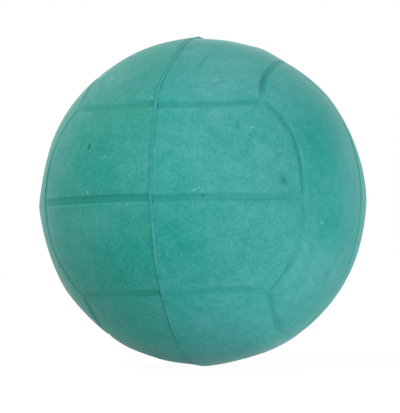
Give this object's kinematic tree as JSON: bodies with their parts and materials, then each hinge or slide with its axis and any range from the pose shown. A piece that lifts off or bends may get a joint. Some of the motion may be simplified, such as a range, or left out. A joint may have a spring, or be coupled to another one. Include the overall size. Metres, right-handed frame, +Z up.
{
  "type": "foam ball",
  "caption": "Soft moulded foam ball with a grooved panel pattern and a raised mould seam, for throwing, catching and bouncing.",
  "frame": {"origin": "centre of the ball", "axes": "+X square to the mould's parting plane, from the left half to the right half; -Y towards the front face; +Z up, towards the top face"},
  "size_m": [0.063, 0.0636, 0.0636],
  "materials": {
    "foam": "matte",
    "skin": "matte",
    "seam": "matte"
  },
  "bodies": {
    "root": {"foam_core": "foam", "skin_left": "skin", "skin_right": "skin", "mould_seam": "seam"}
  },
  "joints": []
}
